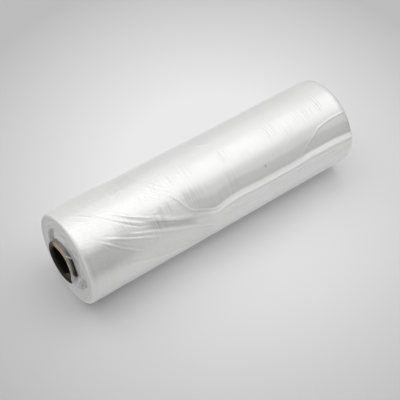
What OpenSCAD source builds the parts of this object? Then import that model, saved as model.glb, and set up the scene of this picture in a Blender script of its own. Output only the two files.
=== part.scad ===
// Roll of thin plastic bags: a long web of film wound on a cardboard core, lying on its side.
//
// +X runs along the core, from the near end at -X to the far end, and +Z is up.
// The front, where the loose film lies in folds, is toward -Y.
// The origin is on the core's axis, half way along it.
// A place on the wound film is a share of the way along the web, from 0 at the near end to 1
// at the far end, and an angle that counts from the top, positive toward the front.

/* [Roll] */
// Width of the film, which is the length of the wound roll
web_w = 305; // [200:5:400]
// Outer diameter of the wound film
roll_d = 90; // [70:1:120]
// Radius of the soft film corner round each end
corner_r = 2; // [1:0.5:4]
// Width of the flat rim that the outermost turns show at each end
rim_w = 1; // [0.5:0.5:3]
// How far the rim wanders out of a true plane
rim_wander = 0.8; // [0:0.1:2]
// How far the roll's weight has pressed its underside flat
flat_depth = 0.5; // [0.3:0.1:1]

/* [Core] */
// Outer diameter of the cardboard core
core_d = 42; // [36:1:50]
// Thickness of the core's wall
core_wall = 4; // [2:0.5:6]
// Length of core that stands out of the film at each end
core_out = 6; // [2:0.5:12]
// Chamfer on the core's cut edges
core_chamfer = 0.5; // [0.2:0.1:1]
// Radial clearance between the core and the innermost turn
core_fit = 0.05; // [0.05:0.05:0.3]

/* [Turns on the end faces] */
// Distance from one raised turn to the next
turn_pitch = 2; // [1:0.5:4]
// Height of a raised turn
turn_ridge = 0.4; // [0.1:0.1:0.8]
// How far the end faces lie inside the rim
face_inset = 0.3; // [0.2:0.1:1]
// Width of the band of tight turns under the rim
tight_band = 11; // [6:1:14]
// How much deeper the slack turns inside that band lie
slack_drop = 0.5; // [0:0.1:1]

/* [Loose film] */
// Height of the gathered ridge of the loose flap
flap_ridge_h = 1.6; // [0.5:0.1:3]
// Height of the flap over the turn beneath it
flap_step = 0.6; // [0:0.1:1.5]
// Height of the pull folds that fan out from the ridge
fold_h = 1; // [0.2:0.1:2]
// Half the width of a fold at its foot
fold_w = 4.5; // [3:0.5:8]
// Depth of the pocket where the top turn has slipped back from the far end
pocket_depth = 0.5; // [0:0.1:0.8]
// How much fatter the slack film is over the near end
near_bulge = 0.9; // [0:0.1:2]

/* [Film on the core] */
// Thickness of the film tongue that clings to the core's near end
tongue_t = 0.5; // [0.3:0.1:1]
// Length of tongue left bare of the core's cut edge
tongue_short = 1; // [0.5:0.5:2]
// Angle round the core that the tongue covers
tongue_arc = 60; // [30:5:120]
// Angle from the top at which the tongue starts
tongue_from = 95; // [60:5:140]

/* [Hidden] */

roll_r = roll_d / 2;
half_web = web_w / 2;
core_r = core_d / 2;
bore_r = core_r - core_wall;
half_core = half_web + core_out;
film_bore_r = core_r + core_fit;
wrap_inner_r = roll_r - corner_r - rim_w;
body_r = wrap_inner_r + rim_w / 2;
mm_per_degree = roll_r * PI / 180;
round_steps = 120;

// Half the angle that the flat spot takes up, seen from the axis
flat_half = acos(1 - flat_depth / roll_r);

// Angles of the lines along the wrap: close together over the folds, wider apart elsewhere
fold_zone = [-10, 120];
fine_step = 2.6;
coarse_step = 6.5;
wrap_angles = concat(
    spread(flat_half - 180, fold_zone[0], coarse_step),
    spread(fold_zone[0], fold_zone[1], fine_step),
    spread(fold_zone[1], 180 - flat_half, coarse_step),
    [180 - flat_half]
);

// Places of the rings round the wrap, as shares of the web, between the two soft corners
fan_zone = [0.04, 0.46];
fan_step = 0.015;
plain_step = 0.043;
corner_share = corner_r / web_w;
wrap_shares = concat(
    spread(corner_share, fan_zone[0], plain_step),
    spread(fan_zone[0], fan_zone[1], fan_step),
    spread(fan_zone[1], 1 - corner_share, plain_step),
    [1 - corner_share]
);
corner_turns = [0, 30, 60];

// The ridge of the loose flap, and the pull folds that fan out from its near end
flap_route = [[0.40, 63], [0.44, 67], [0.54, 66], [0.66, 68], [0.82, 67], [0.90, 67], [1.10, 72]];
fold_routes = [
    [[0.27, 0], [0.30, 20], [0.33, 34], [0.36, 52], [0.39, 62], [0.45, 67]],
    [[0.11, 8], [0.15, 18], [0.18, 29], [0.23, 41], [0.29, 50], [0.36, 59], [0.45, 68]],
    [[0.08, 2], [0.12, 21], [0.17, 37], [0.24, 49]],
    [[0.15, 45], [0.22, 55], [0.29, 66], [0.38, 81], [0.45, 93]],
    [[0.05, 34], [0.08, 38], [0.15, 51], [0.25, 67]],
    [[0.05, 36], [0.08, 42], [0.13, 58], [0.18, 72], [0.24, 86]],
    [[0.08, 66], [0.16, 82], [0.23, 93], [0.30, 99], [0.38, 107], [0.50, 114]]
];
// The edge that the top turn shows where it has slipped back from the far end
pocket_route = [[0.78, 66], [0.80, 61], [0.83, 54], [0.86, 47], [0.90, 42], [1.10, 41]];
// A layer's cut edge drops within half the width of a fold
edge_w = fold_w / 2;
// Share of the web over which a fold rises from nothing at its ends
fold_taper = 0.05;
// Small step along the web over which a fold's slope is measured
slope_step = 0.01;
// Where the slack at the near end stops, how fast, and where it lies round the roll
bulge_end = 0.2;
bulge_fade = 0.04;
bulge_at = -35;
bulge_half_angle = 75;
// Angles between which all relief dies away toward the flat underside
relief_fade = [135, 160];
// How sharply the rims' wander grows toward the ends, and the sides on which it is greatest
wander_power = 12;
near_wander_at = 100;
far_wander_at = -60;
// How far the tongue's root reaches in under the wound turns
tongue_root = 2;

// Even steps from one value up to, but without, the next, each no longer than the step given
function spread(from, to, step) =
    let (count = ceil((to - from) / step))
    [for (i = [0:count - 1]) from + (to - from) * i / count];

function clamp01(v) = min(1, max(0, v));
function smooth(v) = let (c = clamp01(v)) c * c * (3 - 2 * c);

// A rounded ridge: full height on its line, nothing from the half width outward
function lobe(distance, half_width) =
    distance >= half_width ? 0 : pow(cos(90 * distance / half_width), 2);

function tapered(share, route) =
    clamp01(min(share - route[0][0], route[len(route) - 1][0] - share) / fold_taper);

// How much wider a slanting fold is when it is measured straight round the roll
function slant(share, route) =
    let (rise = (lookup(share + slope_step, route) - lookup(share - slope_step, route)) * mm_per_degree)
    norm([1, rise / (2 * slope_step * web_w)]);

function ridge(share, angle, route) =
    let (distance = abs(angle - lookup(share, route)) * mm_per_degree)
    lobe(distance / slant(share, route), fold_w) * tapered(share, route);

// Where folds meet, the higher one shows
function folds(share, angle) =
    fold_h * max([for (route = fold_routes) ridge(share, angle, route)]);

function flap(share, angle) =
    let (below = (angle - lookup(share, flap_route)) * mm_per_degree / fold_w)
    max(
        flap_ridge_h * ridge(share, angle, flap_route),
        flap_step * smooth(below) * tapered(share, flap_route)
    );

function pocket(share, angle) =
    share < pocket_route[0][0] ? 0 :
    let (under_edge = (angle - lookup(share, pocket_route)) * mm_per_degree)
    let (over_flap = (lookup(share, flap_route) - angle) * mm_per_degree)
    pocket_depth * smooth(under_edge / edge_w) * smooth(over_flap / edge_w);

function bulge(share, angle) =
    near_bulge * smooth((bulge_end - share) / bulge_fade) *
    lobe(abs(angle - bulge_at), bulge_half_angle);

// How far the outermost film stands off the true cylinder
function relief(share, angle) =
    let (fade = 1 - smooth((abs(angle) - relief_fade[0]) / (relief_fade[1] - relief_fade[0])))
    fade * (max(folds(share, angle), flap(share, angle)) + bulge(share, angle) - pocket(share, angle));

// The rims stand out of their planes by a little, more on one side than on the other
function wander(share, angle) =
    let (toward_end = 2 * share - 1)
    let (high_side = toward_end < 0 ? near_wander_at : far_wander_at)
    sign(toward_end) * rim_wander * pow(abs(toward_end), wander_power) *
    (0.5 + 0.5 * cos(angle - high_side));

function on_wrap(share, angle, radius) = [
    (share - 0.5) * web_w + wander(share, angle),
    -radius * sin(angle),
    radius * cos(angle)
];

// One ring of points round the wrap, drawn in from the outside by the soft corner
function outer_ring(share, inset) =
    [for (angle = wrap_angles) on_wrap(share, angle, roll_r - inset + relief(share, angle))];

function inner_ring(share) =
    [for (angle = wrap_angles) on_wrap(share, angle, wrap_inner_r)];

function corner_share_at(turn) = corner_share * (1 - cos(turn));
function corner_inset_at(turn) = corner_r * (1 - sin(turn));

wrap_rings = concat(
    [inner_ring(0)],
    [for (turn = corner_turns) outer_ring(corner_share_at(turn), corner_inset_at(turn))],
    [for (share = wrap_shares) outer_ring(share, 0)],
    [for (i = [len(corner_turns) - 1:-1:0])
        outer_ring(1 - corner_share_at(corner_turns[i]), corner_inset_at(corner_turns[i]))],
    [inner_ring(1)]
);

// The loose outer wrap: rings of points joined to their neighbours and round on themselves
module outer_wrap() {
    rings = len(wrap_rings);
    lines = len(wrap_angles);
    faces = [
        for (i = [0:rings - 1], j = [0:lines - 1])
            let (next_ring = (i + 1) % rings)
            let (next_line = (j + 1) % lines)
            let (a = i * lines + j)
            let (b = i * lines + next_line)
            let (c = next_ring * lines + next_line)
            let (d = next_ring * lines + j)
            each [[a, c, b], [a, d, c]]
    ];
    polyhedron([for (ring = wrap_rings) each ring], faces, convexity = 6);
}

// Outline of one end face from the core outward: raised turns, deeper where they are slack
tight_from = body_r - tight_band;
turn_count = floor((body_r - turn_pitch - core_r) / turn_pitch);
function turn_depth(radius) = face_inset + (radius < tight_from ? slack_drop : 0);
end_outline = concat(
    [for (i = [0:turn_count - 1], high = [0, 1])
        let (radius = core_r + (i + high / 2) * turn_pitch)
        [radius, half_web - turn_depth(radius) - (1 - high) * turn_ridge]],
    [[core_r + turn_count * turn_pitch, half_web - face_inset - turn_ridge]],
    [[body_r, half_web - face_inset - turn_ridge]]
);

module tight_turns() {
    near_outline = [for (i = [len(end_outline) - 1:-1:0]) [end_outline[i][0], -end_outline[i][1]]];
    rotate([0, 90, 0])
        rotate_extrude($fn = round_steps)
            polygon(concat(end_outline, near_outline));
}

// A strip of film that the innermost turns leave on the part of the core that stands out.
// Its inner half is cut away with the bore.
module film_tongue() {
    root = half_web - face_inset - turn_ridge - slack_drop - tongue_root;
    tip = half_core - tongue_short;
    rotate([tongue_from + tongue_arc, 0, 0])
        rotate([0, -90, 0])
            rotate_extrude(angle = tongue_arc, $fn = round_steps)
                translate([film_bore_r - tongue_t, root])
                    square([2 * tongue_t, tip - root]);
}

module film_roll() {
    color([0.93, 0.93, 0.92])
        difference() {
            union() {
                outer_wrap();
                tight_turns();
                film_tongue();
            }
            rotate([0, 90, 0])
                cylinder(r = film_bore_r, h = 2 * (half_core + core_out), center = true, $fn = round_steps);
        }
}

module core_tube() {
    outline = [
        [bore_r, -half_core + core_chamfer],
        [bore_r + core_chamfer, -half_core],
        [core_r - core_chamfer, -half_core],
        [core_r, -half_core + core_chamfer],
        [core_r, half_core - core_chamfer],
        [core_r - core_chamfer, half_core],
        [bore_r + core_chamfer, half_core],
        [bore_r, half_core - core_chamfer]
    ];
    color([0.66, 0.56, 0.42])
        rotate([0, 90, 0])
            rotate_extrude($fn = round_steps)
                polygon(outline);
}

core_tube();
film_roll();
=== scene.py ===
# %% [markdown]
# # A roll of thin plastic bags on a cardboard core
#
# The real object has two pieces: a brown cardboard tube, and one long web of milky film that is
# wound round it a few hundred times. The roll lies on its side, seen from above its near end.
# What makes it look like film and not like a white cylinder is its loose outer turn: the slack is
# gathered in one soft ridge along the far half, and fans out from there into sharp little folds.
#
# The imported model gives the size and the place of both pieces. Everything below is measured in
# metres in that same frame: X runs along the roll, Z is up, and the folds lie on the -Y side.

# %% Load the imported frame
import math

import bpy
import numpy as np
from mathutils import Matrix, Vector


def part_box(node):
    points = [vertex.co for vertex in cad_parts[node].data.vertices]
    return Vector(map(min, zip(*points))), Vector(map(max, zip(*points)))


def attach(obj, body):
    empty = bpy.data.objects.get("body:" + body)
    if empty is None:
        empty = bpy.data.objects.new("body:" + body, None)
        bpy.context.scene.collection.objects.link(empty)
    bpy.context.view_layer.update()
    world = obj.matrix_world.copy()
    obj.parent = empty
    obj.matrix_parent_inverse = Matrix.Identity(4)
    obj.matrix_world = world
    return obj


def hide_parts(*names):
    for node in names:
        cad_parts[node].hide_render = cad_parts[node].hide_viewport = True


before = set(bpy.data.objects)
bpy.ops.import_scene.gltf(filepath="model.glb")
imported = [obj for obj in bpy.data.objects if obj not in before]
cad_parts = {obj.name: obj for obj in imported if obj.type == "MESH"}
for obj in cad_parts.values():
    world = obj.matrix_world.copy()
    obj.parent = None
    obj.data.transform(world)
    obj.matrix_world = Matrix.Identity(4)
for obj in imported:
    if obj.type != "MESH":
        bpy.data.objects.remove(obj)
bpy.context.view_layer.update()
film_low, film_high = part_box("film_roll")
core_low, core_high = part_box("core_tube")
print("film from", tuple(film_low), "to", tuple(film_high))
print("core from", tuple(core_low), "to", tuple(core_high))

# %% [markdown]
# ## The camera
#
# A camera can be placed by eye, or worked out from straight and round edges of a photograph. Here
# the two long edges, the near face and the far rim were matched to a cylinder, which gives the
# place, the two turns and the lens at once. The lens is long, so the roll hardly tapers.

# %% Place the camera
CAMERA_AT = (-0.3944, -0.5175, 0.6746)
CAMERA_HEADING = 52.93   # degrees from +X toward +Y
CAMERA_DROP = 46.89      # degrees below the horizon
CAMERA_LENS = 88.1       # mm, on a sensor 36 mm wide

camera_data = bpy.data.cameras.new("camera")
camera_data.lens = CAMERA_LENS
camera_data.sensor_width = 36
camera = bpy.data.objects.new("camera", camera_data)
camera.location = CAMERA_AT
camera.rotation_euler = (math.radians(90 - CAMERA_DROP), 0, math.radians(CAMERA_HEADING - 90))
bpy.context.collection.objects.link(camera)
bpy.context.scene.camera = camera
bpy.context.scene.view_settings.view_transform = "Standard"
print("camera at", CAMERA_AT, "lens", CAMERA_LENS)

# %% [markdown]
# ## Driving sizes
#
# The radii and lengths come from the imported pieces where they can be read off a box, and the rest
# are the few sizes of wound film that a maker would quote: how round its corners are, and how wide
# the band of tight outer turns is. Surfaces are worked out in millimetres and turned to metres at
# the very end, because film is easier to think about in millimetres.

# %% Name the sizes
MM = 0.001
WEB = 305.0                                    # width of the film
ROLL_R = 45.0                                  # radius of the wound film
CORNER_DROP = 1.8                              # how far the soft corners fall in radius
CORNER_LENGTH = 2.6                            # and how far along the roll they start
FAR_CORNER_LENGTH = 5.5                        # the far corner is slacker
RIM_WIDTH = 1.0                                # flat rim shown by the outermost turns
CORE_R = (core_high.z - core_low.z) / 2 / MM   # outside of the cardboard
HALF_CORE = core_high.x / MM                   # from the middle to the cardboard's cut edge
FLOOR_Z = film_low.z / MM                      # the flat spot that the roll rests on
CORE_WALL = 4.0
CORE_FIT = 0.05
BORE_R = CORE_R - CORE_WALL
RIM_INNER_R = ROLL_R - CORNER_DROP - RIM_WIDTH
MM_PER_DEGREE = math.radians(ROLL_R)
FLAT_HALF = math.degrees(math.acos(-FLOOR_Z / ROLL_R))
print(f"core {2 * CORE_R:.0f} mm, bore {2 * BORE_R:.0f} mm, flat spot {2 * FLAT_HALF:.1f} degrees wide")

# %% [markdown]
# ## Small tools for surfaces
#
# Every surface here is a grid of points: rows that run one way and columns that run round. Two
# ways to make such a mesh are a modelling operator for each step, or one array for the whole
# surface. The array is shorter and shows the formula, so each piece is one array of points that
# is closed on itself in both directions, like a ring-shaped tube. That leaves no open edge.

# %% Make a mesh from a closed grid of points
def mesh_from_grid(name, points_mm, finish, marks=None):
    """Joins each point of a grid to its neighbours, and the last row and column to the first."""
    rows, columns = points_mm.shape[:2]
    row, column = np.meshgrid(np.arange(rows), np.arange(columns), indexing="ij")
    next_row, next_column = (row + 1) % rows, (column + 1) % columns
    quads = np.stack([
        row * columns + column,
        row * columns + next_column,
        next_row * columns + next_column,
        next_row * columns + column,
    ], axis=-1).reshape(-1, 4)
    mesh = bpy.data.meshes.new(name)
    mesh.vertices.add(rows * columns)
    mesh.vertices.foreach_set("co", (points_mm * MM).astype(np.float32).ravel())
    mesh.loops.add(quads.size)
    mesh.loops.foreach_set("vertex_index", quads.astype(np.int32).ravel())
    mesh.polygons.add(len(quads))
    mesh.polygons.foreach_set("loop_start", np.arange(0, quads.size, 4, dtype=np.int32))
    mesh.polygons.foreach_set("use_smooth", np.ones(len(quads), bool))
    for mark, values in (marks or {}).items():
        attribute = mesh.attributes.new(mark, "FLOAT", "POINT")
        at_each_point = np.broadcast_to(values, (rows, columns)).astype(np.float32)
        attribute.data.foreach_set("value", at_each_point.ravel())
    mesh.update(calc_edges=True)
    mesh.validate()
    mesh.materials.append(finish)
    piece = bpy.data.objects.new(name, mesh)
    bpy.context.collection.objects.link(piece)
    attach(piece, "root")
    print(f"{name}: {2 * len(quads)} triangles")
    return piece


# %% Shapes of steps, crests and ripples
def smooth(value):
    """Rises from 0 to 1, level at both ends: three times the square less twice the cube."""
    value = np.clip(value, 0, 1)
    return value * value * (3 - 2 * value)


def between(value, low, high, soft):
    """1 between two values, falling to 0 over a soft distance outside each of them."""
    return smooth((value - low) / soft + 1) * smooth((high - value) / soft + 1)


def rounded(distance, half_width):
    """A rounded ridge: a squared cosine, 1 on its line and 0 from the half width outward."""
    return np.cos(np.clip(np.abs(distance) / half_width, 0, 1) * math.pi / 2) ** 2


def creased(distance, half_width, blunt=0.25, hollow=1.8):
    """A crease in film: a straight fall to each side, raised to a power that hollows both flanks."""
    away = np.hypot(distance, blunt) - blunt   # the crest is blunted over a quarter of a mm
    return np.clip(1 - away / half_width, 0, 1) ** hollow


def ripples(x, y, seed, waves, longest, shortest):
    """The sum of plane waves of random heading, length and phase, mostly between -1 and 1."""
    random = np.random.default_rng(seed)
    heading, phase = random.uniform(0, 2 * math.pi, (2, waves))
    length = np.exp(random.uniform(math.log(shortest), math.log(longest), waves))
    total = 0
    for turn, start, wave in zip(heading, phase, length):
        total = total + np.sin((x * math.cos(turn) + y * math.sin(turn)) * 2 * math.pi / wave + start)
    return total / math.sqrt(waves)


def round_axis(x, radius, angle):
    """Points at a place along the roll, a radius from its axis and an angle from the top."""
    turn = np.radians(angle)
    x, y, z = np.broadcast_arrays(x, -radius * np.sin(turn), radius * np.cos(turn))
    return np.stack([x, y, z], axis=-1)


print("half way down its flank, a crease still has", round(float(creased(1, 2)), 2), "of its height")

# %% [markdown]
# ## Where the loose film lies
#
# A place on the film is a share of the way along the web, 0 at the near end and 1 at the far end,
# and an angle from the top, positive toward the front. Each fold is a short route of such places,
# chosen from where the real folds run. A simulation of such slack film would be slow and
# would never fall the same way, so the folds are laid one by one: a height and a half width for each.

# %% Routes of the ridge, the lower step and the pocket
FLAP_ROUTE = [(0.40, 67), (0.42, 69.5), (0.445, 71), (0.46, 70.3), (0.48, 69), (0.50, 68),
              (0.54, 66.9), (0.62, 68.7), (0.74, 69), (0.82, 68), (0.90, 68), (0.95, 69), (1.00, 71),
              (1.10, 75)]
STEP_ROUTE = [(-0.10, 66), (0.05, 66), (0.09, 68), (0.11, 73), (0.16, 82), (0.19, 87), (0.23, 93),
              (0.27, 97), (0.30, 99), (0.34, 106), (0.42, 108), (0.50, 115)]
POCKET_ROUTE = [(0.78, 67), (0.80, 61), (0.825, 55), (0.845, 51), (0.865, 47), (0.88, 44),
                (0.905, 42), (0.94, 41), (1.10, 41)]
print("the ridge starts at", FLAP_ROUTE[0][0], "of the web and the pocket at", POCKET_ROUTE[0][0])

# %% [markdown]
# The sharp folds start near the top and at the near end, and run down to where the ridge starts,
# because the slack was pulled together there. Lower ones hang below the ridge, and a few faint
# streaks cross the crown. Where the film is drawn hard, it also shows patches of fine lines.

# %% Routes of the folds and the grooves
# name: route, height and half width in mm
FOLDS = {
    "spur": ([(0.305, 22), (0.324, 29), (0.333, 35), (0.342, 41), (0.350, 47), (0.357, 52),
              (0.366, 56.5), (0.378, 59.5), (0.393, 61.5), (0.409, 64.5), (0.425, 67.5), (0.44, 69.5),
              (0.50, 69)], 0.6, 2.0),
    "spur_start_a": ([(0.285, 13), (0.303, 21), (0.324, 28), (0.335, 33), (0.35, 38)], 0.2, 1.2),
    "spur_start_b": ([(0.318, 22), (0.327, 26), (0.339, 31), (0.358, 38)], 0.22, 1.1),
    "spur_start_c": ([(0.325, 29), (0.333, 32.5), (0.342, 36.5), (0.357, 42)], 0.2, 1.1),
    "upper": ([(0.11, 8), (0.148, 18), (0.182, 29), (0.207, 35), (0.234, 41), (0.262, 46),
               (0.293, 50), (0.324, 54)], 0.24, 2.3),
    "lap": ([(0.225, 40.5), (0.25, 45), (0.274, 49), (0.294, 53), (0.319, 57), (0.338, 59.5),
             (0.352, 61.3), (0.369, 63), (0.386, 65), (0.403, 67.5), (0.43, 72), (0.47, 76)], 0.6, 3.6),
    "crossing_a": ([(0.25, -3), (0.262, 0), (0.273, 6), (0.285, 14), (0.30, 21.5),
                    (0.325, 29)], 0.28, 1.1),
    "crossing_b": ([(0.265, -5), (0.28, -1), (0.289, 4), (0.30, 10.5), (0.314, 17), (0.336, 26),
                    (0.355, 34)], 0.28, 1.1),
    "crossing_c": ([(0.235, 3), (0.25, 9), (0.265, 17), (0.283, 24), (0.31, 31)], 0.22, 1.0),
    "beneath_a": ([(0.43, 74), (0.45, 75), (0.48, 76), (0.514, 77.5), (0.545, 79.5),
                   (0.59, 82)], 0.5, 1.9),
    "beneath_c": ([(0.55, 92), (0.70, 95), (0.85, 96), (1.0, 98)], 0.15, 2.5),
    "hanging_a": ([(0.575, 88), (0.62, 84), (0.68, 80), (0.74, 78)], 0.45, 1.7),
    "hanging_b": ([(0.67, 92), (0.74, 86), (0.80, 81), (0.86, 79)], 0.4, 1.9),
    "hanging_c": ([(0.80, 92), (0.87, 86), (0.93, 82), (1.0, 80)], 0.4, 1.7),
    "beneath_b": ([(0.44, 81), (0.48, 81), (0.52, 82), (0.56, 84), (0.62, 87)], 0.35, 2.4),
    "middle": ([(0.14, 42), (0.157, 46), (0.186, 51), (0.215, 55), (0.246, 60), (0.294, 67),
                (0.327, 72), (0.378, 81), (0.45, 93)], 0.5, 2.1),
    "lower": ([(0.067, 36), (0.082, 38), (0.11, 43), (0.151, 51), (0.18, 56), (0.21, 61),
               (0.26, 68)], 0.42, 1.8),
    "lowest": ([(0.05, 36), (0.077, 42), (0.10, 50), (0.126, 58), (0.153, 65), (0.19, 74)], 0.45, 1.7),
    "branch": ([(0.05, 37), (0.068, 43), (0.078, 49), (0.10, 60)], 0.4, 1.4),
    "under_ridge": ([(0.56, 76), (0.70, 76.5), (0.78, 77), (0.86, 77.5), (0.93, 79),
                     (1.0, 83)], 0.5, 1.3),
    "near_top_a": ([(0.03, -11), (0.041, -5), (0.08, 8), (0.12, 21)], 0.38, 1.3),
    "near_top_b": ([(0.06, -7), (0.083, 2), (0.099, 13), (0.135, 27)], 0.34, 1.3),
    "near_top_c": ([(0.02, -1), (0.044, 6), (0.073, 13), (0.105, 16)], 0.28, 1.2),
    "crown": ([(0.15, 3), (0.173, -2), (0.20, -6), (0.23, -7)], 0.3, 2.0),
    "back_streak": ([(0.35, -48), (0.373, -44), (0.424, -32), (0.44, -28)], 0.3, 2.2),
    "top_streak": ([(0.46, -22), (0.485, -18), (0.53, -6), (0.55, -2)], 0.3, 2.2),
}
# name: route, depth and half width in mm
GROOVES = {
    "highlight_crease": ([(0.07, -2), (0.083, 2), (0.105, 14), (0.125, 22), (0.147, 30), (0.169, 37),
                          (0.195, 44), (0.24, 50)], 0.3, 1.3),
    "below_ridge": ([(0.50, 73), (0.54, 73), (0.62, 74.3), (0.74, 74.5), (0.82, 74), (0.90, 74),
                     (1.0, 77), (1.1, 80)], 0.25, 1.2),
}
print(len(FOLDS), "folds and", len(GROOVES), "grooves")

# %% Patches of fine lines, and folds with wrinkles between them
# Each patch: share, angle, half width along the roll and round it in mm, strength
LINE_PATCHES = [
    (0.257, 53, 6, 6, 2.6), (0.287, 41, 7, 5, 1.3), (0.385, 44, 10, 8, 1.6), (0.473, 53, 6, 8, 0.8),
    (0.530, 51, 10, 9, 0.9), (0.698, 46, 8, 5, 0.4), (0.245, 17, 9, 5, 0.4), (0.289, 8, 8, 6, 0.6),
    (0.352, 13, 10, 6, 0.5), (0.407, 13, 9, 8, 0.5), (0.541, 16, 7, 8, 0.5), (0.722, 15, 10, 9, 0.7),
    (0.860, 17, 9, 8, 0.6), (0.918, 16, 9, 8, 0.6), (0.242, 65, 9, 6, 0.4), (0.152, 36, 10, 6, 0.6),
    (0.600, 30, 9, 8, 0.3), (0.780, 30, 9, 8, 0.3),
]
# Two neighbouring folds, and how many small wrinkles lie between them
FAN = [
    ("spur", "upper", 7), ("upper", "middle", 6), ("middle", "lower", 6), ("lower", "lowest", 5),
    ("highlight_crease", "upper", 5), ("beneath_a", "beneath_b", 7), ("spur_start_c", "lap", 4),
    ("under_ridge", "beneath_c", 9), ("crossing_a", "crossing_b", 3), ("middle", "lap", 4),
]
print(len(LINE_PATCHES), "patches of lines,", sum(count for *_, count in FAN), "small wrinkles")

# %% [markdown]
# ## The height of the loose film
#
# Each place is measured from a route: how far off it lies, square to the route, in millimetres.
# A crest, a step or a groove is then a function of that one distance. The finish could be painted
# by hand, but the same distances also say where the film is slack, tight or drawn, so that every
# tone lies exactly on its fold.

# %% Measure how far a place lies off a route
def along(route, share):
    """The route's angle at each share of the web, straight from point to point."""
    return np.interp(share, *np.transpose(route))


def off(route, share, angle):
    """How far a place lies off a route, in mm square to it, positive below it, toward the front."""
    step = 0.01
    rise = (along(route, share + step) - along(route, share - step)) * MM_PER_DEGREE
    slant = np.hypot(1, rise / (2 * step * WEB))
    return (angle - along(route, share)) * MM_PER_DEGREE / slant


def tapered(route, share, taper=0.045):
    """1 along a route, falling to 0 over the last share of the web at each of its ends."""
    return smooth(np.minimum(share - route[0][0], route[-1][0] - share) / taper)


print("the ridge runs", round(abs(float(off(FLAP_ROUTE, 0.7, 0)))), "mm in front of the crown")

# %% [markdown]
# Below the ridge the outer turn hangs loose. Above it, near the far end, that turn has slipped
# back and left a shallow pocket. The ridge is a soft step: the film climbs, folds over in a lip,
# and the slack runs out below. Low on the near end, the corner has been pressed rounder.

# %% Slack film, the pocket, the gathered ridge and the worn corner
RIDGE_FULL_OVER = 0.08            # share of the web over which the ridge grows to its full height
CLIMB_ABOVE, CLIMB_WIDTH = 3.1, 5.8   # mm: where the climb starts above its route, and its width
LIP_END, LIP_SOFT = 3.7, 1.3      # mm below the route where the lip ends, and how softly
SLACK_END, SLACK_SOFT = 17, 13    # the same for the slack below it


def slack_film(share, angle):
    """Where the outer turn hangs loose, from 0 to 1: below the ridge, and below the lower step."""
    below_ridge = smooth(off(FLAP_ROUTE, share, angle) / 3) * tapered(FLAP_ROUTE, share)
    softness = 3 + 9 * smooth((0.16 - share) / 0.1)
    below_step = smooth(off(STEP_ROUTE, share, angle) / softness) * tapered(STEP_ROUTE, share)
    return np.maximum(below_ridge, below_step)


def pocket(share, angle):
    """1 where the top turn has slipped back and the glossy turn beneath shows, above the ridge."""
    inside = smooth(off(POCKET_ROUTE, share, angle) / 1.3) * smooth(-off(FLAP_ROUTE, share, angle) / 2)
    return inside * (share > POCKET_ROUTE[0][0])


def gathered_ridge(share, angle):
    """The ridge in three parts: its even climb, its lip, and the slack that runs out below."""
    away = off(FLAP_ROUTE, share, angle) + 0.25 * ripples(share * WEB, 0 * angle, 9, 8, 40, 9)
    climb = np.clip((away + CLIMB_ABOVE) / CLIMB_WIDTH, 0, 1)
    climb = climb * smooth((share - FLAP_ROUTE[0][0]) / RIDGE_FULL_OVER)
    return climb, smooth((LIP_END - away) / LIP_SOFT), smooth((SLACK_END - away) / SLACK_SOFT)


def worn_corner(share, angle):
    """Where the near corner is rounder than elsewhere, low on the front side, from 0 to 1."""
    return between(angle, 60, 92, 28) * smooth((0.026 - share) / 0.022)


print("3 mm below the ridge, the film is slack by", round(float(slack_film(0.7, 73)), 2), "of 1")

# %% [markdown]
# Between two long folds the film is crossed by short, low creases that run the way their
# neighbours run. They could be drawn one by one. Here seeded random numbers choose where each one
# lies between its two folds, how long it is and how high, and give the same ones on each run.

# %% Wrinkles between neighbouring folds
WRINKLE_HALF_WIDTH = 1.5
LOWEST_WRINKLE, TALLER_BY = 0.08, 0.22   # mm


def fan_wrinkles(share, angle, seed=7):
    """Many short low creases; the route of each is a weighted mean of the two folds beside it."""
    random = np.random.default_rng(seed)
    routes = {name: shape[0] for name, shape in {**FOLDS, **GROOVES}.items()}
    height = 0
    for first, second, count in FAN:
        low = max(routes[first][0][0], routes[second][0][0]) - 0.02
        high = min(routes[first][-1][0], routes[second][-1][0])
        for lean, start, length, tall in random.uniform(0, 1, (count, 4)):
            begin = low + (high - low) * 0.7 * start
            end = begin + (high - low) * (0.2 + 0.4 * length)
            shares = np.linspace(begin, end, 9)
            angles = (1 - lean) * along(routes[first], shares) + lean * along(routes[second], shares)
            between_them = list(zip(shares, angles))
            crease = creased(off(between_them, share, angle), WRINKLE_HALF_WIDTH)
            crease = crease * tapered(between_them, share, 0.03)
            height = height + (LOWEST_WRINKLE + TALLER_BY * tall) * crease
    return height


print("a wrinkle stands at most", LOWEST_WRINKLE + TALLER_BY, "mm high by itself")

# %% [markdown]
# All of these meet in one height. Where folds cross, the highest one shows, since a fold that lies
# on top hides the one beneath. The ridge is added to them, and the grooves and the pocket are
# taken away. Wide, weak ripples keep the rest from looking as if it came off a lathe.

# %% Add up the relief
LIP_HEIGHT = 0.8       # heights and depths in mm
RIDGE_HEIGHT = 1.4
SLACK_LIFT = 0.35
POCKET_DEPTH = 0.38
WORN_DROP = 1.3
SWELL_HEIGHT = 0.9     # the near top is a little thicker than the rest
SMOOTH_FROM = 135      # degrees from the top, behind which the film is plain


def laid(shapes, share, angle):
    """Each fold or groove in turn: its height times its crease, faded at the ends of its route."""
    for route, height, half_width in shapes.values():
        yield height * creased(off(route, share, angle), half_width) * tapered(route, share)


def pocket_lips(share, angle):
    """Two fine creases side by side along the edge of the slipped turn, above the ridge."""
    from_edge = off(POCKET_ROUTE, share, angle)
    lips = 0.25 * creased(from_edge + 0.6, 1.2) + 0.12 * creased(from_edge - 2.6, 1.0)
    return lips * (share > POCKET_ROUTE[0][0]) * smooth(-off(FLAP_ROUTE, share, angle) / 3)


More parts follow.
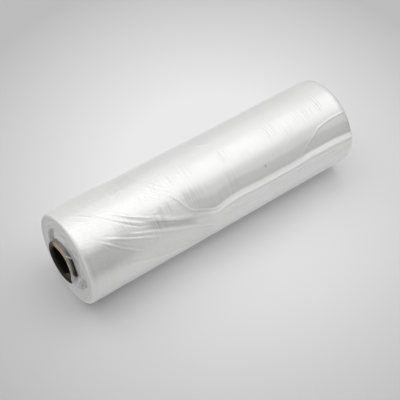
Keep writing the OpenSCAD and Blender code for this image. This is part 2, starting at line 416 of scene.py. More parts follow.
def unevenness(share, angle):
    """Wide ripples plus narrow slanting ones, both stronger over the slack near half."""
    x, y = share * WEB, angle * MM_PER_DEGREE
    near_slack = smooth((0.5 - share) / 0.2)
    wide = (0.03 + 0.06 * near_slack) * ripples(x, y, 3, 14, 60, 18)
    narrow = (0.012 + 0.02 * near_slack) * ripples(x + y, 2.2 * (y - 0.6 * x), 4, 30, 22, 6)
    return wide + narrow


def relief(share, angle):
    """The highest fold and the wrinkles, plus the ridge, less the grooves and the pocket."""
    folds = 0
    for fold in laid(FOLDS, share, angle):
        folds = np.maximum(folds, fold)
    climb, lip, run_out = gathered_ridge(share, angle)
    film = np.maximum(folds + fan_wrinkles(share, angle), LIP_HEIGHT * climb * lip)
    film = film + RIDGE_HEIGHT * climb * run_out + SLACK_LIFT * slack_film(share, angle)
    film = film - sum(laid(GROOVES, share, angle))
    film = film + pocket_lips(share, angle) - POCKET_DEPTH * pocket(share, angle)
    near_top = smooth((0.205 - share) / 0.035) * smooth(share / 0.05) * rounded(angle + 45, 75)
    film = film + unevenness(share, angle) + SWELL_HEIGHT * near_top
    film = film - WORN_DROP * worn_corner(share, angle)
    return film * (1 - smooth((np.abs(angle) - SMOOTH_FROM) / 25))


sample = relief(np.linspace(0, 1, 200)[:, None], np.linspace(-90, 120, 200))
print("the highest fold stands", round(float(sample.max()), 2), "mm off the cylinder")

# %% [markdown]
# The finish has to know what the film does at each point, and where highlight and shade are painted.
# Six numbers carry it over on the mesh: slack, tight, crest, drawn, gathered and edge. Slack was
# worked out above, and here are the rest. Crest, tight and edge also carry painted highlight and shade.

# %% Marks for the film's finish
# Painted highlight and shade: the finish lightens the film on crests and darkens it in creases by this mark.
def crest_and_crease_shade_mark(share, angle, reach=1.8):
    """The height less the mean of four places around it: 1 on a sharp crest, -1 in a crease."""
    along_web, round_roll = reach / WEB, reach / MM_PER_DEGREE
    around = (relief(share + along_web, angle) + relief(share - along_web, angle)
              + relief(share, angle + round_roll) + relief(share, angle - round_roll)) / 4
    return np.clip((relief(share, angle) - around) / 0.22, -1, 1)


def drawn_mark(share, angle):
    """Where winding has drawn fine lines into the film: the strongest of some soft round patches."""
    total = 0
    for at_share, at_angle, wide, tall, strength in LINE_PATCHES:
        wide_off = (share - at_share) * WEB / wide
        tall_off = (angle - at_angle) * MM_PER_DEGREE / tall
        total = np.maximum(total, strength * np.exp(-wide_off ** 2 - tall_off ** 2))
    return total


def tight_and_shade_mark(share, angle):
    """Where the film is drawn tight over the turns below and shows them, plus painted shade: a sum, cut off
    at 1.
    """
    near_front = smooth((0.22 - share) / 0.14) * smooth(share / 0.015)
    near_front = near_front * smooth((angle - 39) / 10) * smooth((88 - angle) / 24)
    upper, lap, middle = (off(FOLDS[name][0], share, angle) for name in ("upper", "lap", "middle"))
    below_upper = smooth((np.minimum(upper, lap) - 1.5) / 2)
    # hollow, above_ridge, near_top and the darker patch are painted shade: in the hollow between the folds,
    # in the band above the ridge, on the near top and in one patch. near_front and the pocket are tight film.
    hollow = below_upper * smooth((-1.5 - middle) / 2) * between(share, 0.24, 0.34, 0.05)
    above_ridge = between(off(FLAP_ROUTE, share, angle), -12, -3.5, 4) * between(share, 0.4, 1.1, 0.06)
    near_top = between(angle, -8, 4, 8) * smooth((0.33 - share) / 0.2)
    darker_patch = between(angle, -24, -2, 6) * between(share, 0.225, 0.26, 0.02)
    total = near_front + 0.9 * hollow + 0.5 * above_ridge + 0.1 * pocket(share, angle)
    return np.clip(total + 0.2 * near_top + 0.12 * darker_patch, 0, 1)


def gathered_mark(share, angle):
    """1 on the lip of the ridge: five times the product of its three parts, cut off at 1."""
    climb, lip, run_out = gathered_ridge(share, angle)
    return np.clip(5 * climb * lip * run_out, 0, 1)


def edge_and_far_shade_mark(share, angle, radius):
    """1 over the near corner; below 0 over and beside the far one, as painted shade; a little more where
    worn.
    """
    over_corner = smooth((ROLL_R + 0.05 - radius) / 0.5)
    near_or_far = np.where(share < 0.5, 1, 0.6 * between(angle, -12, 35, 14) - 0.8)
    beside_far = 0.3 * smooth((share - 0.955) / 0.04)
    return over_corner * near_or_far - beside_far + 0.3 * worn_corner(share + 0.006, angle)


sample = tight_and_shade_mark(np.linspace(0, 1, 99)[:, None], np.arange(-90, 120))
print(round(100 * float((sample > 0.3).mean())), "% of the film that shows is drawn tight")

# %% [markdown]
# ## Places on the roll
#
# The web wanders a little sideways as it is wound, so the rims aren't quite flat. A place on the
# roll is turned into a point here, with that wander. The one dark speck on the film is a place too.

# %% Turn places into points
RIM_WANDER = 0.8                  # mm out of the rim's plane
NEAR_HIGH, FAR_HIGH = 100, -60    # degrees, the side on which each rim stands out most
SPECK_PLACE = (0.652, 53)


def rim_wander(share, angle):
    """A cosine of the angle, largest on one side, times a high power of the place along the web."""
    toward_end = 2 * share - 1
    high_side = np.where(toward_end < 0, NEAR_HIGH, FAR_HIGH)
    swing = 0.5 + 0.5 * np.cos(np.radians(angle - high_side))
    return np.sign(toward_end) * RIM_WANDER * np.abs(toward_end) ** 12 * swing


def on_roll(share, angle, radius):
    """The point at a share of the web, an angle from the top and a radius."""
    return round_axis((share - 0.5) * WEB + rim_wander(share, angle), radius, angle)


SPECK_AT = tuple(on_roll(*SPECK_PLACE, ROLL_R) * MM)
print("the one dark speck is at", [round(float(part), 4) for part in SPECK_AT])

# %% [markdown]
# ## Shader sums written as sums
#
# A finish is a graph of nodes. Wiring it by hand hides the idea, so a small class stands for the
# output of a node: adding or multiplying two of them adds the Math node for it. Colours would turn
# grey in a Math node, so they go through a Mix node, and any other node comes from one method.

# %% Wires between nodes
class Wire:
    """One output of a node in a finish. Sums and products of wires add Math nodes."""

    def __init__(self, finish, socket):
        self.finish = finish
        self.socket = socket

    def math(self, operation, *others):
        return self.finish.node("ShaderNodeMath", {"operation": operation}, dict(enumerate((self, *others))))

    def __add__(self, other):
        return self.math("ADD", other)

    def __sub__(self, other):
        return self.math("SUBTRACT", other)

    def __rsub__(self, other):
        return self.finish.node("ShaderNodeMath", {"operation": "SUBTRACT"}, {0: other, 1: self})

    def __mul__(self, other):
        return self.math("MULTIPLY", other)

    def __pow__(self, other):
        return self.math("POWER", other)

    __radd__ = __add__
    __rmul__ = __mul__

    def rise(self, low, high):
        """0 below low, 1 above high, straight between."""
        return self.finish.node("ShaderNodeMapRange", {"clamp": True}, {0: self, 1: low, 2: high})

    def scaled(self, x, y, z):
        """A vector with each part multiplied by its own number."""
        return self.finish.node("ShaderNodeVectorMath", {"operation": "MULTIPLY"}, {0: self, 1: (x, y, z)})

    def plus(self, other):
        """The sum of two vectors."""
        return self.finish.node("ShaderNodeVectorMath", {"operation": "ADD"}, {0: self, 1: other})


# %% [markdown]
# The finish holds the material and its Principled shader. It offers only the few nodes that a
# film or a board needs: where a point is, what is marked there, noise, a mix of colours and bumps.

# %% The finish that the wires feed
class Finish:
    """A material whose Principled shader is fed by wires."""

    def __init__(self, name, **constants):
        self.material = bpy.data.materials.new(name)
        self.material.use_nodes = True
        self.tree = self.material.node_tree
        self.shader = self.tree.nodes["Principled BSDF"]
        for socket, value in constants.items():
            self.shader.inputs[socket.replace("_", " ")].default_value = value

    def node(self, kind, settings=None, inputs=None, output=0):
        """Adds a node of a kind: first its settings, then its sockets, each a value or a wire."""
        made = self.tree.nodes.new(kind)
        for name, value in (settings or {}).items():
            setattr(made, name, value)
        for name, value in (inputs or {}).items():
            self.feed(made.inputs[name], value)
        return Wire(self, made.outputs[output])

    def feed(self, socket, value):
        """Links a wire to a socket, or sets the socket to a value."""
        if isinstance(value, Wire):
            self.tree.links.new(value.socket, socket)
        else:
            socket.default_value = value

    def place(self):
        """Place on the piece in metres, in the piece's own frame."""
        return self.node("ShaderNodeTexCoord", output="Object")

    def vector(self, x, y, z):
        """A vector of three numbers or wires."""
        return self.node("ShaderNodeCombineXYZ", None, {0: x, 1: y, 2: z})

    def mark(self, name):
        """A number that the mesh carries at each point."""
        return self.node("ShaderNodeAttribute", {"attribute_name": name}, output="Fac")

    def measured(self, operation, *vectors):
        """One number from vectors, such as their distance or a length."""
        inputs = dict(enumerate(vectors))
        return self.node("ShaderNodeVectorMath", {"operation": operation}, inputs, output="Value")

    def noise(self, vector, scale, detail=2.0, roughness=0.5):
        """Cloudy noise, mostly between 0.3 and 0.7."""
        inputs = {"Vector": vector, "Scale": scale, "Detail": detail, "Roughness": roughness}
        return self.node("ShaderNodeTexNoise", None, inputs)

    def mix(self, factor, low, high):
        """The colour low where factor is 0, high where it is 1."""
        return self.node("ShaderNodeMix", {"data_type": "RGBA"}, {0: factor, 6: low, 7: high}, output=2)

    def set(self, **wires):
        """Feeds sockets of the Principled shader, named with _ for each space."""
        for socket, value in wires.items():
            self.feed(self.shader.inputs[socket.replace("_", " ")], value)

    def bump(self, height, depth_mm):
        """Tilts the surface as if it stood out by height times depth_mm."""
        inputs = {"Height": height, "Distance": depth_mm * MM, "Strength": 1.0}
        self.set(Normal=self.node("ShaderNodeBump", None, inputs))

    def done(self):
        """The finished material, and a word on its size."""
        print(f"{self.material.name}: {len(self.tree.nodes)} nodes")
        return self.material


# %% [markdown]
# ## The film's finish
#
# One turn of such film is nearly clear, but a stack of turns works like a pile of panes: each
# face sends back a little light, so the roll looks half white and half silvery. A plain white
# plastic would miss the silver, and glass would miss the white. The finish is therefore a satin
# white with part of a metal's gloss. Where the film is slack, air under it makes it whiter and
# duller; where turns lie tight it is glossier. Winding tension leaves fine lines round the roll,
# which are too small for the mesh and are a bump; their light and dark are also painted into the
# colour. Crests are painted lighter, and creases, hollows and the far corner darker, as painted
# highlight and painted shade.

# %% Finish of the outer film
FILM_GREY, FILM_WHITE = (0.66, 0.66, 0.655, 1), (0.95, 0.95, 0.945, 1)
SPECK_COLOUR = (0.10, 0.09, 0.08, 1)
SPECK_STRENGTH = 0.45
SPECK_INNER, SPECK_OUTER = 0.0003, 0.0017    # metres from its middle, dark and gone
LINE_STRETCH = (860, 18, 18)                 # fine along the roll, long round it


def film_finish():
    """White over air and, as painted highlight, on crests; grey where tight and in painted shade; fine lines.
    """
    film = Finish("bag_film", IOR=1.5, Specular_IOR_Level=0.5)
    place = film.place()
    names = ("slack", "tight", "edge", "crest", "gathered", "drawn")
    slack, tight, edge, crest, gathered, drawn = (film.mark(name) for name in names)
    cloud = film.noise(place.scaled(12, 30, 30), 1.0, 3.0)
    lines = film.noise(place.scaled(*LINE_STRETCH), 1.0, 1.0, 0.6)
    # The fine lines are a bump, and the same noise also paints their light and dark sides into the colour as
    # painted shade.
    line_bump_and_shade = (lines - 0.5) * (drawn + 0.1) * (1.0 - edge)
    # Painted highlight and shade: crest lightens crests and darkens creases, tight darkens the hollows, the
    # band above the ridge and the near top, and edge below 0 darkens the far corner.
    whiter = slack * 0.35 + cloud * 0.5 + edge * 0.15 + crest * 0.4 + gathered * 0.4 + 0.2
    pale = (whiter + line_bump_and_shade * 1.8 - tight * 0.9).rise(-0.6, 1.0)
    clear_of_speck = film.measured("DISTANCE", place, SPECK_AT).rise(SPECK_INNER, SPECK_OUTER)
    speck = SPECK_STRENGTH - clear_of_speck * SPECK_STRENGTH
    film.set(
        Base_Color=film.mix(speck, film.mix(pale, FILM_GREY, FILM_WHITE), SPECK_COLOUR),
        Metallic=(0.3 + tight * 0.2 - slack * 0.1 - edge * 0.2 - gathered * 0.15).rise(0.0, 1.0),
        Roughness=0.3 + slack * 0.08 + cloud * 0.06 - tight * 0.06 + edge * 0.1,
    )
    film.bump(line_bump_and_shade, 1.0)
    return film.done()


outer_finish = film_finish()

# %% [markdown]
# The end faces show the edges of all the turns at once. They are duller than the outside, and
# where the inner turns are slack one looks in between them, which reads as darker patches. The
# dark sectors of the turns' sheen, the shade in a groove and a shadow by the core are painted too.

# %% Finish of the wound edges
TURN_WHITE, TURN_GAPS_AND_SHADE = (0.86, 0.86, 0.855, 1), (0.42, 0.42, 0.415, 1)
LINES_PER_METRE = 1500.0


def edge_finish():
    """Noise that changes fast with the radius and slowly round the roll, so that it draws turns."""
    edges = Finish("bag_film_edges", IOR=1.5)
    from_axis = edges.place().scaled(0, 1, 1)
    radius = edges.measured("LENGTH", from_axis)
    round_about = edges.node("ShaderNodeVectorMath", {"operation": "NORMALIZE"}, {0: from_axis})
    swept = round_about.scaled(0, 2.5, 2.5).plus(edges.vector(radius * LINES_PER_METRE, 0, 0))
    turns = edges.noise(swept, 1.0, 3.0, 0.65)
    # dark: where one sees in between the turns and where shade is painted, plus the turns' own noise.
    dark = (edges.mark("see_in_and_shade") + (turns - 0.5) * 0.5).rise(0.0, 1.0)
    edges.set(
        Base_Color=edges.mix(dark, TURN_WHITE, TURN_GAPS_AND_SHADE),
        Metallic=0.2,
        Roughness=0.4 + turns * 0.15,
    )
    edges.bump(turns, 0.25)
    return edges.done()


turned_finish = edge_finish()

# %% [markdown]
# ## The outer wrap
#
# This is the surface that one sees first. It is a profile carried along the roll: in from the
# rim of the end face, round the soft corner, along the web, and back in at the far end, with the
# relief added to its radius. Columns lie close together over the folds and wider apart behind,
# so that the detail is where it shows.

# %% Profile of the outer wrap
CORNER_STEPS = 8
RIM_STEPS = 5


def stretch(*spans):
    """Even steps over each span of (from, to, steps), each span's end left to the next."""
    parts = [np.linspace(low, high, steps, endpoint=False) for low, high, steps in spans]
    return np.concatenate([*parts, [spans[-1][1]]])


edge_angle = 180 - FLAT_HALF
wrap_angles = stretch((-edge_angle, -60, 28), (-60, -15, 24), (-15, 118, 200), (118, edge_angle, 14))
near_corner, far_corner = CORNER_LENGTH / WEB, FAR_CORNER_LENGTH / WEB
corner_turn = np.radians(np.linspace(0, 90, CORNER_STEPS, endpoint=False))
corner_inset = CORNER_DROP * (1 - np.sin(corner_turn))
rim_radii = np.linspace(RIM_INNER_R, ROLL_R - CORNER_DROP, RIM_STEPS, endpoint=False)
web_shares = stretch((near_corner, 0.48, 180), (0.48, 0.76, 50), (0.76, 1 - far_corner, 90))

wrap_shares = np.concatenate([
    0 * rim_radii,
    near_corner * (1 - np.cos(corner_turn)),
    web_shares,
    1 - far_corner * (1 - np.cos(corner_turn[::-1])),
    0 * rim_radii + 1,
])[:, None]
wrap_radii = np.concatenate([
    rim_radii,
    ROLL_R - corner_inset,
    0 * web_shares + ROLL_R,
    ROLL_R - corner_inset[::-1],
    rim_radii[::-1],
])[:, None]
print(len(wrap_shares), "steps along the roll and", len(wrap_angles), "round it")

# %% Build the outer wrap
relief_share = smooth((wrap_radii - RIM_INNER_R) / (ROLL_R - RIM_INNER_R))   # none at the rim's foot
raised_radii = wrap_radii + relief_share * relief(wrap_shares, wrap_angles)
wrap_marks = {
    "slack": slack_film(wrap_shares, wrap_angles),
    "tight": tight_and_shade_mark(wrap_shares, wrap_angles),
    "crest": crest_and_crease_shade_mark(wrap_shares, wrap_angles),
    "drawn": drawn_mark(wrap_shares, wrap_angles),
    "gathered": gathered_mark(wrap_shares, wrap_angles),
    "edge": edge_and_far_shade_mark(wrap_shares, wrap_angles, wrap_radii),
}
wrap_points = on_roll(wrap_shares, wrap_angles, raised_radii)
film_wrap = mesh_from_grid("film_wrap", wrap_points, outer_finish, wrap_marks)
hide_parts("film_roll")

# %% [markdown]
# ## The wound turns
#
# The end faces could be flat discs with lines painted on, but a raking light shows each raised
# turn, so the faces are modelled: a spiral of fine ridges, tight under the rim and slack and
# uneven near the core. The film is wound as a spiral, so the ridges are one as well: their height
# repeats with the radius less one pitch for each turn round.

# %% Depth of the end faces
TURNS_OUTER_R = RIM_INNER_R + RIM_WIDTH / 2
FILM_BORE_R = CORE_R + CORE_FIT
SLACK_R = 31.5           # inside this radius the turns are slack
TURN_PITCH = 1.3
FACE_INSET, SLACK_INSET = 0.4, 0.45   # mm inside the rim, and more where the turns are slack
SWELL_OUT = 2.6          # mm by which the turns stand out round the core


def face_depth(radius, angle, seed, swollen):
    """How far an end face lies inside the rim, in mm: an inset, plus a cosine ridge for each turn,
    wider bands and a groove where the slack starts, less the swell round the core."""
    turn = radius / TURN_PITCH - angle / 360
    slack = smooth((SLACK_R - radius) / 2)
    x, y = radius * np.cos(np.radians(angle)), radius * np.sin(np.radians(angle))
    uneven = ripples(x, y, seed, 10, 40, 9)
    crumpled = ripples(x, y, seed + 1, 16, 12, 3)
    ridges = (0.28 + 0.02 * slack) * (0.5 - 0.5 * np.cos(2 * math.pi * turn)) * (0.8 + 0.4 * uneven)
    bands = 0.26 * np.sin(2 * math.pi * turn / 3.2 + 2 * uneven) * (1 - slack)
    groove = 0.6 * rounded(radius - SLACK_R - 0.3 * uneven, 0.8)
    swell = SWELL_OUT * swollen * smooth((28 - radius) / 6) * between(angle, -36, 140, 36)
    loose = swollen * between(angle, 105, 160, 15) * between(radius, 21, 29, 2)
    depth = FACE_INSET + SLACK_INSET * slack + ridges + bands + groove + 0.2 * slack * uneven
    return depth - swell + 0.4 * loose * crumpled


print("the turns are slack inside a radius of", SLACK_R, "mm")

# %% Where one sees in between the turns, and painted shade on the end faces
def see_in_and_shade(radius, angle):
    """0 to 1, partly painted shade: two dark bands, radial streaks, a seam, a shadow by the core, thin arcs.
    """
    x, y = radius * np.cos(np.radians(angle)), radius * np.sin(np.radians(angle))
    uneven = 1.2 * ripples(x, y, 5, 10, 20, 5)
    # The two bands are partly gaps between slack turns and partly the painted dark sectors of the turns'
    # sheen. The seam is the painted shade of the groove where the slack starts, and beside is a painted
    # shadow by the core.
    upper = between(angle, -90, -55, 14) * between(radius + 0.3 * uneven, 22, SLACK_R - 0.6, 0.8)
    lower = between(angle + 3 * uneven, 104, 126, 16) * between(radius + 0.5 * uneven, 26, SLACK_R - 1.5, 2)
    streaks = ripples(radius * 7, angle * 0.45, 8, 9, 30, 8) * between(radius, 24, SLACK_R, 1)
    seam = rounded(radius - SLACK_R, 1.1) * between(angle, 35, 105, 15)
    beside = rounded(radius - 23, 4.5) * between(angle, 15, 85, 20)
    arcs = (rounded(radius - 36.5 - 0.4 * uneven, 0.7) * between(angle, 50, 130, 25)
            + rounded(radius - 39.6 - 0.3 * uneven, 0.6) * between(angle, -80, 70, 25)
            + rounded(radius - 34.2 - 0.3 * uneven, 0.6) * between(angle, -60, 40, 25))
    total = 0.7 * upper + 0.5 * lower + 0.45 * np.clip(streaks, 0, 1) + 0.6 * seam
    total = total + 0.6 * beside + 0.28 * arcs
    return np.clip(total, 0, 1)


sample = see_in_and_shade(np.linspace(20, 40, 80)[:, None], np.arange(-90, 130))
print("the deepest view in between the turns is", round(float(sample.max()), 2), "of 1")

# %% Build the wound turns
turn_angles = np.linspace(-180, 180, 420, endpoint=False)
near_radii = np.linspace(FILM_BORE_R, TURNS_OUTER_R, 130)[:, None]
far_radii = np.linspace(TURNS_OUTER_R, FILM_BORE_R, 90)[:, None]
FAR_SEE_IN_AND_SHADE = 0.6         # a guess for the far face, which can't be seen: a little less than near


def face_points(side, radius, seed, swollen):
    """One end face: -1 for the near one, 1 for the far one."""
    x = side * (WEB / 2 - face_depth(radius, turn_angles, seed, swollen))
    return round_axis(x, radius, turn_angles)


turn_points = np.concatenate([face_points(-1, near_radii, 11, 1), face_points(1, far_radii, 14, 0)])
turn_marks = np.concatenate([see_in_and_shade(near_radii, turn_angles), FAR_SEE_IN_AND_SHADE * see_in_and_shade(far_radii, -turn_angles)])
wound_turns = mesh_from_grid("wound_turns", turn_points, turned_finish, {"see_in_and_shade": turn_marks})
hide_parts("film_roll")

# %% [markdown]
# ## The cardboard core
#
# The core is a tube of brown board, wound from strips, with a cut edge that has lost its
# sharpness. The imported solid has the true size. A finer mesh adds what the saw left: an edge that
# is a little ragged outside and slightly furred, on the same radii.

# %% Finish of the cardboard
CUT_DARK, CUT_PALE = (0.30, 0.25, 0.175, 1), (0.74, 0.65, 0.49, 1)
SIDE_DARK, SIDE_PALE = (0.08, 0.07, 0.057, 1), (0.19, 0.165, 0.13, 1)
GLOOM = (0.012, 0.010, 0.007, 1)


def board_finish():
    """Long fibres over soft blotches; pale on the cut's lit side, browner outside, painted shade down the
    bore.
    """
    board = Finish("core_board", IOR=1.45, Specular_IOR_Level=0.04)
    place = board.place()
    fibres = board.noise(place.scaled(90, 700, 700), 1.0, 5.0, 0.6)
    blotch = board.noise(place.scaled(60, 60, 60), 1.0, 2.0)
    tone = (fibres * 0.8 + blotch * 0.6 - 0.2).rise(0.0, 1.0)
    cut, side = board.mix(tone, CUT_DARK, CUT_PALE), board.mix(tone, SIDE_DARK, SIDE_PALE)
    colour = board.mix(board.mark("cut_edge_lit_side"), side, cut)
    board.set(Base_Color=board.mix(board.mark("gloom"), colour, GLOOM), Roughness=0.85 + blotch * 0.1)
    board.bump(fibres, 0.2)
    return board.done()


# %% Outline of the tube's wall
EDGE_ROUND = 0.6   # how far the saw's edge has been rubbed round
LIP = 1.8          # how far the board bulges into the bore at the top of the near edge


def core_outline():
    """Radius and place along the tube, from the near bore edge round the outside and back."""
    bend = np.radians(np.linspace(0, 90, 6))
    rise, run = EDGE_ROUND * np.cos(bend), EDGE_ROUND * np.sin(bend)
    face = np.linspace(BORE_R + EDGE_ROUND, CORE_R - EDGE_ROUND, 12)[1:-1]
    near_steps, length = np.linspace(3, 12, 8), 2 * HALF_CORE
    side = np.concatenate([near_steps, np.linspace(20, length - 20, 16), length - near_steps[::-1]])
    near = np.concatenate([
        np.stack([BORE_R + EDGE_ROUND - rise, -HALF_CORE + EDGE_ROUND - run], axis=1),
        np.stack([face, 0 * face - HALF_CORE], axis=1),
        np.stack([CORE_R - EDGE_ROUND + run, -HALF_CORE + EDGE_ROUND - rise], axis=1),
    ])
    outside = np.stack([0 * side + CORE_R, side - HALF_CORE], axis=1)
    inside = np.stack([0 * side + BORE_R, HALF_CORE - side], axis=1)
    return np.concatenate([near, outside, near[::-1] * (1, -1), inside])


outline = core_outline()
core_radius, core_x = outline[:, :1], outline[:, 1:]
print(len(outline), "points round the wall of the tube")

# %% Fray the cut edge
core_angles = np.linspace(-180, 180, 360, endpoint=False)
from_end = HALF_CORE - np.abs(core_x)
through_wall = (CORE_R - core_radius) / CORE_WALL      # 0 outside, 1 in the bore
arc = core_angles * CORE_R * math.pi / 180
frayed = smooth((1.5 - from_end) / 1.5)
fray_in = 0.15 * np.abs(ripples(arc, core_radius * 3, 21, 16, 9, 2))
fray_out = 0.12 * np.abs(ripples(arc, core_radius * 5, 22, 16, 8, 1.5)) - 0.15
lip = LIP * rounded(core_angles - 12, 85) * smooth((9 - from_end) / 8) * (core_x < 0)
rough_radius = core_radius - lip * through_wall - frayed * fray_in
rough_x = core_x - np.sign(core_x) * frayed * fray_out
print("the cut edge is frayed by up to", round(float(fray_out.max()), 2), "mm")

# %% Build the core
# The cut edge is pale board only on its side toward the lamps, which is painted light; the rest of the ring
# keeps the darker side colour as painted shade.
cut_edge_lit_side = smooth((1.0 - from_end) / 0.6) * between(core_angles, -12, 42, 34)
# gloom is painted shade: down the bore, on the core's side in the collar's shadow, and along the lower half
# of the cut edge.
lit_mouth = 7 * between(core_angles, 125, 160, 25)     # light falls deeper into the lower front
in_bore = core_radius < BORE_R + 0.1
down_bore = 0.98 * smooth(in_bore * (from_end - 0.7 - lit_mouth) / (2 + lit_mouth))
outside_wall = core_radius > CORE_R - 0.3
shaded_side = 0.82 * between(core_angles, 45, 110, 12) * smooth((from_end - 1.2) / 1) * outside_wall
bottom_edge = 0.75 * smooth((1.0 - from_end) / 0.6) * between(np.abs(core_angles), 95, 180, 30)
gloom = np.maximum(np.maximum(down_bore, shaded_side), bottom_edge)
core_points = round_axis(rough_x, rough_radius, core_angles)
core_marks = {"cut_edge_lit_side": cut_edge_lit_side, "gloom": gloom}
core_board = mesh_from_grid("core_board", core_points, board_finish(), core_marks)
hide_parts("core_tube")

# %% [markdown]
# ## The film that clings to the core
#
# The first turn was wrapped round the bare core and its end still shows: a thin collar that hugs
# the outside of the tube, crossed by one pale fold, and a tongue lower down that laps over the cut
# edge into the bore's mouth. It is far thinner than a cushion or a sheet of cloth would be, so it
# is a shell of its own: out along the core, over the edge, and back just beneath.

# %% Finish of the clinging film
THIN_FILM, FOLDED_FILM = (0.42, 0.40, 0.385, 1), (0.60, 0.60, 0.60, 1)


def collar_finish():
    """Grained film, nearly clear where one turn lies on the board and milky where it is folded."""
    collar = Finish("core_film", IOR=1.5, Specular_IOR_Level=0.6)
    grain = collar.noise(collar.place().scaled(500, 250, 250), 1.0, 3.0, 0.6)
    veil = collar.mark("veil")
    collar.set(
        Base_Color=collar.mix(veil, THIN_FILM, FOLDED_FILM),
        Roughness=0.28 + grain * 0.2,
        Alpha=(veil * (grain * 0.5 + 0.75)).rise(0.0, 1.0),
    )
    collar.bump(grain, 0.15)
    return collar.done()


# %% Shape of the clinging film
COLLAR_ROOT = 1.6        # how far outside the rim's plane the collar comes out of the roll
COLLAR_THICK = 0.12
COLLAR_REACH = 0.93      # it stops just short of the cut edge
TONGUE_REACH = 2.0       # the tongue goes over the edge and into the bore's mouth
OVER_EDGE_GAP = 0.3      # how far outside the cut edge the tongue turns over

collar_angles = np.linspace(-180, 180, 300, endpoint=False)
tongue = between(collar_angles, 44, 112, 14)
reach = COLLAR_REACH + (TONGUE_REACH - COLLAR_REACH) * tongue
path = np.linspace(1, 0, 42)[:, None] * reach      # 0 at the roll, 1 at the cut edge, 2 in the bore
side_run, over_edge = np.clip(path, 0, 1), np.clip(path - 1, 0, 1)
wrinkle = ripples(path * 14, collar_angles * 0.36, 31, 14, 9, 2)
pale_fold = rounded(collar_angles - 29 - 12 * (1 - side_run), 6) * smooth((path - 0.02) / 0.1)
collar_lift = 0.28 + 0.12 * wrinkle + 0.45 * pale_fold + 0.35 * tongue * smooth(path)
root_x, edge_x = -(WEB / 2 + COLLAR_ROOT), -HALF_CORE - OVER_EDGE_GAP
collar_x = root_x + (edge_x - root_x) * side_run - (0.25 + 0.15 * wrinkle) * smooth(over_edge * 5)
collar_r = CORE_R + collar_lift * (1 - smooth(over_edge * 4)) - (CORE_WALL - 0.4) * over_edge
print("the collar stands up to", round(float(collar_lift.max()), 2), "mm off the board")

# %% Build the clinging film
def shell(x, radius, angles, thickness):
    """A closed shell: the surface itself, then the same one moved inward, in the other direction."""
    outer = round_axis(x, radius, angles)
    inner = round_axis(x + thickness, radius - thickness, angles)
    return np.concatenate([outer, inner[::-1]])


# The film is milkier near its root on the upper back, which also paints light over the shade where the core
# meets the face.
side_veil_and_light = 0.22 * between(collar_angles, -45, 8, 20) * smooth((0.9 - path) / 0.6)
veil = 0.09 + 0.08 * between(collar_angles, 0, 32, 12) + side_veil_and_light
bare_front = between(collar_angles, 46, 106, 12) * smooth((0.86 - path) / 0.12)
tongue_from = 0.95 - 0.5 * between(collar_angles, 92, 140, 14)
tongue_veil = 0.8 * tongue * smooth((path - tongue_from) / 0.2)
low_veil = 0.9 * between(collar_angles, 100, 150, 12)
veil = np.maximum.reduce(np.broadcast_arrays(veil * (1 - 0.9 * bare_front), tongue_veil, low_veil, pale_fold))
collar_points = shell(collar_x, collar_r, collar_angles, COLLAR_THICK)
collar_marks = {"veil": np.concatenate([veil, veil[::-1]])}
core_film = mesh_from_grid("core_film", collar_points, collar_finish(), collar_marks)

# %% [markdown]
# ## Floor and light
#
# A pale floor and soft boxes overhead are enough for a white object. The key lamp hangs beyond the
# far end and gives the long bright band along the top. One to the side and one behind keep the
# back of the roll pale, and a wide dim ceiling softens the shadows. The sky is left dim, so that
# the front of the roll, which mirrors it, turns a shade darker. The real surface is palest round
# the roll. A spot lamp could do that, but it would also light the film, so a pool of light is
# painted into the floor's colour instead: it falls from pale to grey over an oval.

# %% Make the floor
FLOOR_SIZE = 6.0
FLOOR_PAINTED_LIT, FLOOR_PAINTED_DIM = (0.84, 0.84, 0.84, 1), (0.51, 0.51, 0.51, 1)
OVAL_MIDDLE = (0.045, 0.034)                       # metres
OVAL_SHORT, OVAL_LONG = (0.8, -0.6, 0), (0.6, 0.8, 0)   # directions of its two axes
OVAL_SQUASH = 0.81                                 # short axis over long axis
PALE_UNTIL, GREY_FROM = 0.103, 0.306               # metres from the middle, along the short axis

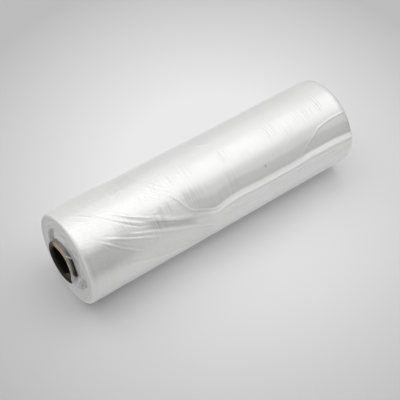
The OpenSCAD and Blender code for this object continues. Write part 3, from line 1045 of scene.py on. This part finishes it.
half = FLOOR_SIZE / 2
floor_mesh = bpy.data.meshes.new("floor")
corners = [(x, y, film_low.z) for x, y in ((-half, -half), (half, -half), (half, half), (-half, half))]
floor_mesh.from_pydata(corners, [], [(0, 1, 2, 3)])
floor = bpy.data.objects.new("floor", floor_mesh)
bpy.context.collection.objects.link(floor)

floor_finish = Finish("floor", Roughness=0.9)
from_middle = floor_finish.place().plus((-OVAL_MIDDLE[0], -OVAL_MIDDLE[1], 0))
across = floor_finish.measured("DOT_PRODUCT", from_middle, OVAL_SHORT)
onward = floor_finish.measured("DOT_PRODUCT", from_middle, OVAL_LONG) * OVAL_SQUASH
away = (across * across + onward * onward) ** 0.5
# Painted pool of light: the floor's colour is pale inside the oval round the roll and grey beyond it.
floor_finish.set(Base_Color=floor_finish.mix(away.rise(PALE_UNTIL, GREY_FROM), FLOOR_PAINTED_LIT, FLOOR_PAINTED_DIM))
floor_mesh.materials.append(floor_finish.done())

# %% Hang the lights
def soft_light(name, at, size, brightness):
    """A rectangular lamp that faces straight down; brightness is 1 where it would look white."""
    data = bpy.data.lights.new(name, "AREA")
    data.shape = "RECTANGLE"
    data.size, data.size_y = size
    data.energy = brightness * math.pi * size[0] * size[1]
    lamp = bpy.data.objects.new(name, data)
    lamp.location = at
    bpy.context.collection.objects.link(lamp)


# name: place, size and brightness
SOFT_BOXES = {
    "key": ((0.6, -0.2, 1.1), (1.2, 1.2), 0.99),
    "side": ((-0.3, 0.8, 1.1), (0.6, 1.6), 0.95),
    "back": ((0.6, 1.0, 1.1), (1.2, 1.2), 0.28),
    "ceiling": ((-0.7, 0.9, 2.2), (4.0, 4.0), 0.36),
}
for name, (at, size, brightness) in SOFT_BOXES.items():
    soft_light(name, at, size, brightness)

SKY_STRENGTH = 0.49
sky = bpy.data.worlds.new("sky")
sky.use_nodes = True
background = sky.node_tree.nodes["Background"]
background.inputs["Color"].default_value = (1, 1, 1, 1)
background.inputs["Strength"].default_value = SKY_STRENGTH
bpy.context.scene.world = sky
print(len(SOFT_BOXES), "soft boxes under a sky of", SKY_STRENGTH)
